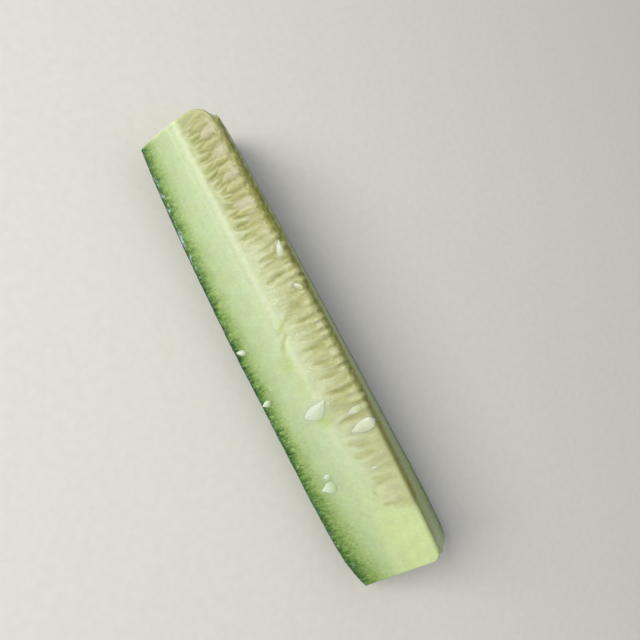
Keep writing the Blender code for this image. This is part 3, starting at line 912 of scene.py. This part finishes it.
def cut_flesh():
    """Raw cucumber flesh, cut with a knife. The eye sees watery, faintly see-through cells under a wet film:
    nearly white round the pulp, and greener and grainier towards the skin."""
    material, tree = new_material("knife_cut_flesh")
    place = node(tree, "TexCoord", output="Object")
    x = node(tree, "SeparateXYZ", place, output="X")
    radius, fibres = fibre_place(tree, place, 0.55)
    streaks = fibre_place(tree, place, 0.15)[1]
    drawn_out = node(tree, "VectorMath", place, (0.45, 1, 1), operation="MULTIPLY")
    fields = {name: node(tree, "Attribute", output="Fac", attribute_name=name) for name in FLESH_FIELDS}

    # What each grain lies on, its size and its detail. Real grain is finer: it is drawn coarser than that,
    # so that it shows.
    noises = {}
    for name, vector, size, detail in (
        ("blotch", place, 5 * MM, 3.0),
        ("fine teeth", streaks, 0.7 * MM, 4.0),
        ("wide teeth", fibres, 1.6 * MM, 3.0),
        ("jelly", streaks, 1.1 * MM, 3.0),
        ("crest", place, 1.0 * MM, 3.0),
        ("flecks", place, 0.7 * MM, 4.0),
        ("painted sparkle", fibres, 0.5 * MM, 3.0),
        ("painted glints", drawn_out, 1.0 * MM, 4.0),
        ("specks", fibres, 0.6 * MM, 4.0),
        ("mottle", place, 2.6 * MM, 4.0),
        ("rough", fibres, 0.9 * MM, 3.0),
    ):
        sockets = {"Vector": vector, "Scale": 1 / size, "Detail": detail}
        noises[name] = node(tree, "TexNoise", sockets=sockets, output="Fac")

    # The green ends in ragged teeth, which are longer from mid-length on. It wanders by a millimetre, and
    # reaches deeper towards the end without seeds.
    raw_depth = fields["under_skin"]
    by_skin = node(tree, "MapRange", raw_depth, 7 * MM, 1 * MM, interpolation_type="SMOOTHSTEP")
    longer = node(
        tree, "MapRange", x, -50 * MM, -20 * MM, 1.0 * MM, 3.4 * MM, interpolation_type="SMOOTHSTEP"
    )
    tooth_length = node(tree, "Math", by_skin, longer, operation="MULTIPLY")
    teeth = node(tree, "Math", noises["wide teeth"], 0.8, noises["fine teeth"], operation="MULTIPLY_ADD")
    teeth = node(tree, "Math", teeth, 0.9, operation="SUBTRACT")
    wander = node(tree, "Math", noises["blotch"], 1.6 * MM, -0.8 * MM, operation="MULTIPLY_ADD")
    wander = node(tree, "Math", raw_depth, wander, operation="ADD")
    depth = node(tree, "Math", teeth, tooth_length, wander, operation="MULTIPLY_ADD")
    shrink = node(tree, "MapRange", x, 12 * MM, 70 * MM, 1.0, 0.5, interpolation_type="SMOOTHSTEP")
    rest = node(tree, "Math", shrink, -0.8 * MM, 0.8 * MM, operation="MULTIPLY_ADD")
    depth = node(tree, "Math", depth, shrink, rest, operation="MULTIPLY_ADD")
    share = node(tree, "Math", depth, FLESH_DEPTH, operation="DIVIDE")
    colour = node(tree, "ValToRGB", share, stops=FLESH_STOPS)

    from_lines = []
    inner = THIN_VESSEL_RADIUS - VESSEL_SWAY
    thin_radius = node(tree, "Math", noises["blotch"], 2 * VESSEL_SWAY, inner, operation="MULTIPLY_ADD")
    for line_radius in (VESSEL_RADIUS, thin_radius):
        off = node(tree, "Math", radius, line_radius, operation="SUBTRACT")
        from_lines.append(node(tree, "Math", off, operation="ABSOLUTE"))

    # Masks: each rises smoothly from its first value to its second while its source goes from low to high.
    masks = {}
    for name, source, low, high, first, second in (
        ("core by x", x, 34 * MM, 58 * MM, 0, 1),
        ("core by radius", radius, 18 * MM, 8 * MM, 0, 1),
        ("vessels", from_lines[0], 1.4 * MM, 0.3 * MM, 0, 1),
        ("thin vessels", from_lines[1], 0.4 * MM, 0.1 * MM, 0, 1),
        ("thin vessels by x", x, -14 * MM, -34 * MM, 0.1, 0.6),
        ("vessels by x", x, 45 * MM, 0, 0.15, 1.0),
        ("seed", fields["seed"], -0.25, 0.45, 0, 1),
        ("crest", noises["crest"], 0.3, 0.6, 0.6, 1.0),
        ("flecks", noises["flecks"], 0.54, 0.66, 0, 1),
        # The painted shade on the back cut is weaker near the skin.
        ("back_shade", depth, 1 * MM, 7 * MM, 0.1, 0.65),
        ("near skin", depth, 7 * MM, 0.5 * MM, 0.08, 0.45),
        ("painted sparkle", noises["painted sparkle"], 0.6, 0.7, 0, 1),
        # Where the painted highlights along the skin's edge are drawn.
        ("painted glints", noises["painted glints"], 0.5, 0.62, 0, 1),
        ("painted glints by depth", depth, 2.0 * MM, 0.8 * MM, 0, 1),
        ("painted glints by x", x, -26 * MM, -38 * MM, 0.12, 0.8),
        ("painted glints by end", x, -68 * MM, -58 * MM, 0, 1),
        ("specks", depth, 7 * MM, 0.5 * MM, 0.208, 1.17),
        ("rough", depth, 4.5 * MM, 0.3 * MM, 0, 2.2),
        ("gloss", noises["blotch"], 0.3, 0.7, 0.32, 0.48),
    ):
        masks[name] = node(
            tree, "MapRange", source, low, high, first, second, interpolation_type="SMOOTHSTEP"
        )
    thin_lines = node(tree, "Math", masks["thin vessels"], masks["thin vessels by x"], operation="MULTIPLY")
    lines = node(tree, "Math", masks["vessels"], thin_lines, operation="MAXIMUM")

    # Pulp is yellowish jelly between the seeds, and darker where it is deep.
    deep = node(tree, "Math", fields["deep"], 0.7, operation="MULTIPLY")
    jelly = node(tree, "ValToRGB", noises["jelly"], stops=JELLY_STOPS)
    jelly = node(tree, "Mix", sockets={0: deep, 6: jelly, 7: "8a8f4a"}, output=2, data_type="RGBA")
    coat = node(tree, "ValToRGB", fields["tone"], stops=COAT_STOPS)
    for over, *factors in (
        ("ccdba3", masks["core by x"], masks["core by radius"], 0.8),  # yellower by the end without seeds
        ("dae3c6", lines, 0.42, masks["vessels by x"]),  # vessels in two pale lines outside the pulp
        (jelly, fields["pulp"]),
        ("cdd3ae", fields["walls"], 0.3),  # pale walls between the chambers
        (coat, masks["seed"], fields["shown"]),  # seeds under jelly, each from straw to nearly white
        ("c8cc96", fields["threads"], 0.55),  # the threads that the seeds hang on
        ("d6d8b0", fields["film_glints"], 0.5),  # bright lines of film along one side of each seed, partly painted highlights
        ("dfe2cc", masks["flecks"], fields["ragged"], 0.55),  # torn white flecks below the pulp
        ("b0ba50", fields["back"], masks["back_shade"]),  # painted shade: olive shadow and green bounced light on the back cut
        ("8a8e38", fields["crest"], masks["crest"]),  # the thin olive edge of the ridge: partly its own olive, partly painted shade and glow through the ridge
        ("b0c570", fields["sap"], 0.6),  # sap round bruises, and a greener patch beside the loose seed
        ("a9b65c", fields["tear"], 0.45),
        ("cfd0b4", fields["milk"], 0.6),
        ("cfdfae", masks["painted sparkle"], masks["near skin"], 1.2),  # painted highlights: wet cells that catch the light
        # Painted highlights: pale bluish patches along the skin's edge stand in for glints of light on the
        # wet skin.
        ("aec9c8", masks["painted glints"], masks["painted glints by depth"], masks["painted glints by x"], masks["painted glints by end"]),
    ):
        share = factors[0]
        for factor in factors[1:]:
            share = node(tree, "Math", share, factor, operation="MULTIPLY")
        colour = node(tree, "Mix", sockets={0: share, 6: colour, 7: over}, output=2, data_type="RGBA")

    # Light and dark grain: plain beside the skin, and a faint mottle elsewhere.
    specks = node(tree, "Math", noises["specks"], 0.5, operation="SUBTRACT")
    grain = node(tree, "Math", specks, masks["specks"], 1.0, operation="MULTIPLY_ADD")
    mottle = node(tree, "Math", noises["mottle"], 0.22, 0.89, operation="MULTIPLY_ADD")
    grain = node(tree, "Math", grain, mottle, operation="MULTIPLY")
    rough = node(tree, "Math", noises["rough"], 0.5, operation="SUBTRACT")
    rough = node(tree, "Math", rough, masks["rough"], operation="MULTIPLY")
    grain = node(tree, "Math", grain, rough, grain, operation="MULTIPLY_ADD")
    colour = node(tree, "VectorMath", colour, sockets={"Scale": grain}, operation="SCALE")

    # The cells stand out a little, drawn out towards the skin and plainest beside it.
    cells = node(tree, "TexVoronoi", sockets={"Vector": fibres, "Scale": 1 / CELL}, output="Distance")
    sockets = {"Height": cells, "Strength": masks["near skin"], "Distance": 0.35 * MM}
    bump = node(tree, "Bump", sockets=sockets)
    film = node(tree, "Math", fields["pulp"], 0.3, 0.22, operation="MULTIPLY_ADD")
    off_back = node(tree, "Math", 1.0, fields["back"], operation="SUBTRACT")
    sockets = {
        "Base Color": colour,
        "Roughness": node(tree, "Math", fields["back"], 0.2, masks["gloss"], operation="MULTIPLY_ADD"),
        "Normal": bump,
        "IOR": 1.38,
        "Specular IOR Level": 0.3,
        "Subsurface Weight": 0.75,
        "Subsurface Scale": 3 * MM,
        "Subsurface Radius": (1.0, 1.0, 0.3),
        "Coat Weight": node(tree, "Math", film, off_back, operation="MULTIPLY"),
        "Coat Roughness": 0.18,
        "Coat IOR": 1.33,
    }
    node(tree, "OutputMaterial", node(tree, "BsdfPrincipled", sockets=sockets))
    return material


def waxy_skin():
    """Cucumber skin, as it grew: a thin rind under its own wax. The eye sees a dark green with a soft shine,
    paler streaks along the stick and tiny pores."""
    material, tree = new_material("waxy_skin")
    place = node(tree, "TexCoord", output="Object")
    stretched = node(tree, "Mapping", sockets={"Vector": place, "Scale": (0.12, 1, 1)})
    noises = []
    for vector, size, detail in ((stretched, 3 * MM, 5.0), (place, 1.3 * MM, 2.0)):
        sockets = {"Vector": vector, "Scale": 1 / size, "Detail": detail}
        noises.append(node(tree, "TexNoise", sockets=sockets, output="Fac"))
    streaks, lumps = noises
    pores = node(tree, "TexVoronoi", sockets={"Vector": place, "Scale": 1 / PORE}, output="Distance")
    dents = node(tree, "Math", lumps, 3.0, pores, operation="MULTIPLY_ADD")
    sockets = {
        "Base Color": node(tree, "ValToRGB", streaks, stops=RIND_STOPS),
        "Roughness": 0.42,
        "Normal": node(tree, "Bump", sockets={"Height": dents, "Strength": 0.8, "Distance": 0.12 * MM}),
        "IOR": 1.45,
        "Coat Weight": 0.45,
        "Coat Roughness": 0.12,
    }
    node(tree, "OutputMaterial", node(tree, "BsdfPrincipled", sockets=sockets))
    return material


def seed_coat():
    """The coat of a bare cucumber seed, as it grew: smooth and wet. The eye sees a creamy white, colder where
    jelly lies over it, and greener where one side fades into the jelly round it."""
    material, tree = new_material("wet_seed_coat")
    place = node(tree, "TexCoord", output="Object")
    sockets = {"Vector": place, "Scale": 1 / (2 * MM), "Detail": 3.0}
    cloud = node(tree, "TexNoise", sockets=sockets, output="Fac")
    colour = node(tree, "ValToRGB", cloud, stops=BARE_COAT_STOPS)
    veil, cold = (node(tree, "Attribute", output="Fac", attribute_name=name) for name in ("veil", "cold"))
    jelly = node(tree, "Mix", sockets={0: cold, 6: "c0c896", 7: "b4ca96"}, output=2, data_type="RGBA")
    for share, over in ((cold, "d9e9da"), (veil, jelly)):
        colour = node(tree, "Mix", sockets={0: share, 6: colour, 7: over}, output=2, data_type="RGBA")
    sockets = {
        "Base Color": colour,
        "Roughness": 0.35,
        "IOR": 1.4,
        "Subsurface Weight": 0.5,
        "Subsurface Scale": 1 * MM,
        "Subsurface Radius": (1.0, 1.0, 0.8),
        "Coat Weight": 0.4,
        "Coat Roughness": 0.12,
        "Coat IOR": 1.33,
    }
    node(tree, "OutputMaterial", node(tree, "BsdfPrincipled", sockets=sockets))
    return material


def matt_board():
    """Painted board under the stick. The eye sees an even, nearly white ground without a shine."""
    material, tree = new_material("matt_board")
    place = node(tree, "TexCoord", output="Object")
    sockets = {"Vector": place, "Scale": 1 / (2.5 * MM), "Detail": 2.0}
    colour = node(tree, "ValToRGB", node(tree, "TexNoise", sockets=sockets, output="Fac"), stops=BOARD_STOPS)
    sockets = {"Base Color": colour, "Roughness": 0.85}
    node(tree, "OutputMaterial", node(tree, "BsdfPrincipled", sockets=sockets))
    return material


def seed_outline(length, width):
    """Blunt at the top, pointed below."""
    places = -np.cos(np.linspace(0, math.pi, 12))
    pointed = 1 - np.clip(places, 0, 1) ** 1.7
    wide = np.where(places < 0, np.sqrt(1 - places**2), pointed) * (1 - 0.25 * places)
    right = [(a * width / 2, p * length / 2) for a, p in zip(wide, places)]
    return right + [(-a, p) for a, p in right[-2:0:-1]]


def closed_curve(points, steps):
    """A smooth closed curve through points, with that many steps from each to the next."""
    points = np.array(points, float)
    before, after, last = np.roll(points, 1, 0), np.roll(points, -1, 0), np.roll(points, -2, 0)
    curve = []
    for t in np.arange(steps) / steps:
        curve.append(
            points
            + 0.5 * t * (after - before)
            + 0.5 * t**2 * (2 * before - 5 * points + 4 * after - last)
            + 0.5 * t**3 * (3 * points - before - 3 * after + last)
        )
    return np.stack(curve, axis=1).reshape(-1, 2)


LENS_RINGS = 12
LENS_FOOT = 0.3 * MM  # its edge ends that far below the face
LENS_EDGE = 1.06  # its edge as a share of its outline: a little beyond the line where it rises


def settle_on_face(point, rise):
    """Lowers a point near the ridge as the ridge's rounding does. rise is of use at the end only."""
    x = np.float64(point.x)
    down = (np.array(point) - ridge_line(x)) @ down_face(FRONT, x)
    inside = np.clip(ridge_foot(x) - down, 0, 0.95 * RIDGE_RADIUS)
    drop = RIDGE_RADIUS - math.sqrt(RIDGE_RADIUS**2 - inside**2)
    return point - drop * Vector(face_normal(FRONT, x))


def settle_on_end(point, rise):
    """Keeps a point between the two cuts, and that far out of the seeded end."""
    x = np.float64(-LENGTH / 2)
    for side in (FRONT, BACK):
        normal = Vector(face_normal(side, x))
        outside = (point - Vector(ridge_line(x))).dot(normal) + END_SEED_GAP
        point = point - max(outside, 0) * normal
    point.x = seeded_end_x(np.array(point)) - rise
    return point


def lens(bm, layers, settle, place, outline, height, turn, leans, veil_way, veil, cold):
    """Adds a lens of that outline to bm, on the frame that place gives. It rises gently out of the wet face,
    and settle moves each point where the face under it needs it. One side fades under a veil of jelly."""
    curve = closed_curve(outline, 5)
    curve[:, 0] *= -1
    middle = curve.mean(axis=0)
    reach = np.abs(curve - middle).max()
    for angle, about in ((turn, "Z"), (leans, "Y")):
        place = place @ Matrix.Rotation(math.radians(angle), 4, about)
    way = math.radians(veil_way)
    rings = []
    for step in range(LENS_RINGS + 1):
        share = LENS_EDGE * (1 - step / LENS_RINGS) if step < LENS_RINGS else 0.0
        rise = height * (1 - share**2) - (LENS_FOOT if step == 0 else 0)
        ring = []
        for across, toward_tip in middle + share * (curve - middle) if share else [middle]:
            vert = bm.verts.new(settle(place @ Vector((across, toward_tip, rise)), rise))
            off = (toward_tip - middle[1]) * math.cos(way) - (across - middle[0]) * math.sin(way)
            vert[layers[0]] = veil * (0.25 + 0.75 * smooth(-0.4, 0.7, off / reach))
            vert[layers[1]] = cold
            ring.append(vert)
        rings.append(ring)
    bm.faces.new(rings[0])
    for outer, inner in zip(rings, rings[1:]):
        for k in range(len(outer)):
            after = (k + 1) % len(outer)
            corners = [outer[k], outer[after]]
            corners += [inner[after], inner[k]] if len(inner) > 1 else inner
            bm.faces.new(corners[::-1])


def face_place(side, x, down):
    """A frame on a cut face: its Y runs down the face and its Z stands out of it."""
    x = np.float64(x)
    point = Vector(ridge_line(x) + down * down_face(side, x))
    turn = Matrix(((side, 0, 0), down_face(side, x), face_normal(side, x))).transposed().to_4x4()
    return Matrix.Translation(point) @ turn


def bare_object(name, material, settle, rows):
    """One object from (place, outline, height, turn, leans, veil_way, veil, cold) of each lens."""
    bm = bmesh.new()
    layers = [bm.verts.layers.float.new(label) for label in ("veil", "cold")]
    for row in rows:
        lens(bm, layers, settle, *row)
    bmesh.ops.recalc_face_normals(bm, faces=bm.faces)
    mesh = bpy.data.meshes.new(name)
    bm.to_mesh(mesh)
    bm.free()
    obj = new_object(name, mesh, material)
    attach(obj, "root")


def on_face(rows):
    """The rows of BARE_SEEDS or TORN_BITS as bare_object takes them."""
    for x, down, outline, height, turn, leans, veil_way, veil, cold in rows:
        place = face_place(FRONT, x * MM, down * MM)
        outline = seed_outline(*outline) if len(outline) == 2 else outline
        outline = [(across * MM, toward_tip * MM) for across, toward_tip in outline]
        yield place, outline, height * MM, turn, leans, veil_way, veil, cold


def end_seeds():
    """The seeds that the first cut bares on the seeded end."""
    for angle, width in zip(END_SEED_ANGLES, END_SEED_WIDTHS):
        outwards = Matrix.Rotation(math.radians(angle), 4, "X") @ Vector((0, 0, -1))
        normal = Vector((-1, 0, 0))
        turn = Matrix((outwards.cross(normal), outwards, normal)).transposed().to_4x4()
        place = Vector(AXIS) + END_SEED_MIDDLE * outwards
        outline = seed_outline(END_SEED_LENGTH, END_SEED_SIZE * width)
        yield Matrix.Translation(place) @ turn, outline, END_SEED_PROUD, 0, 0, 0, 0.9, 0.0


# The camera looks at the ridge from the front and above, turned until the stick slants down to the right.
PHOTO_SIDE = 640
FOCAL_PIXELS = 670
SENSOR = 36
AIM_X = -2.7 * MM
CAMERA_DISTANCE = 180.7 * MM
CAMERA_HEIGHT_ANGLE = math.radians(59)
CAMERA_ROLL = math.radians(62.75)


def add_camera():
    data = bpy.data.cameras.new("camera")
    data.sensor_width = SENSOR
    data.lens = FOCAL_PIXELS / PHOTO_SIDE * SENSOR
    data.clip_start = 0.01
    camera = bpy.data.objects.new("camera", data)
    bpy.context.scene.collection.objects.link(camera)
    back = Vector((0, -math.cos(CAMERA_HEIGHT_ANGLE), math.sin(CAMERA_HEIGHT_ANGLE)))
    right = Vector((1, 0, 0))
    up = back.cross(right)
    turned_right = math.cos(CAMERA_ROLL) * right + math.sin(CAMERA_ROLL) * up
    turned_up = back.cross(turned_right)
    aim = Vector(AXIS) + Vector((AIM_X, 0, 0))
    turn = Matrix((turned_right, turned_up, back)).transposed().to_4x4()
    camera.matrix_world = Matrix.Translation(aim + CAMERA_DISTANCE * back) @ turn
    bpy.context.scene.camera = camera


# Area lights: place in metres, size, power and colour. A large soft one over the front face, and a small
# one that grazes it.
LIGHTS = {
    "key": ((-0.35, -0.65, 0.55), 0.5, 6.8, "fffaf0"),
    "rim": ((-0.5, -0.6, 0.1), 0.2, 0.8, "f0f6ff"),
}
ROOM_COLOUR = "f2f4f5"
ROOM_STRENGTH = 0.32
FLOOR_HALF = 1.5


def add_lights():
    for name, (place, size, power, colour) in LIGHTS.items():
        data = bpy.data.lights.new(name, "AREA")
        data.size = size
        data.energy = power
        data.color = linear(colour)[:3]
        light = bpy.data.objects.new(name, data)
        light.location = place
        light.rotation_euler = (-Vector(place)).to_track_quat("-Z", "Y").to_euler()
        bpy.context.scene.collection.objects.link(light)
    world = bpy.data.worlds.new("room")
    world.use_nodes = True
    background = world.node_tree.nodes["Background"]
    background.inputs["Color"].default_value = linear(ROOM_COLOUR)
    background.inputs["Strength"].default_value = ROOM_STRENGTH
    bpy.context.scene.world = world


def add_floor():
    half = FLOOR_HALF
    corners = [(-half, -half, 0), (half, -half, 0), (half, half, 0), (-half, half, 0)]
    add_object("floor", corners, [(0, 1, 2, 3)], matt_board())


def main():
    add_camera()
    flesh, skin, coat = cut_flesh(), waxy_skin(), seed_coat()
    body, rind = build_body(flesh, skin)
    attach(body, "root")
    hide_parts(NODE)
    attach(rind, "root")
    bare_object("bare_seeds", coat, settle_on_face, on_face(BARE_SEEDS))
    bare_object("torn_bits", coat, settle_on_face, on_face(TORN_BITS))
    bare_object("end_seeds", coat, settle_on_end, end_seeds())
    add_lights()
    add_floor()
    bpy.context.scene.view_settings.view_transform = "Standard"


main()
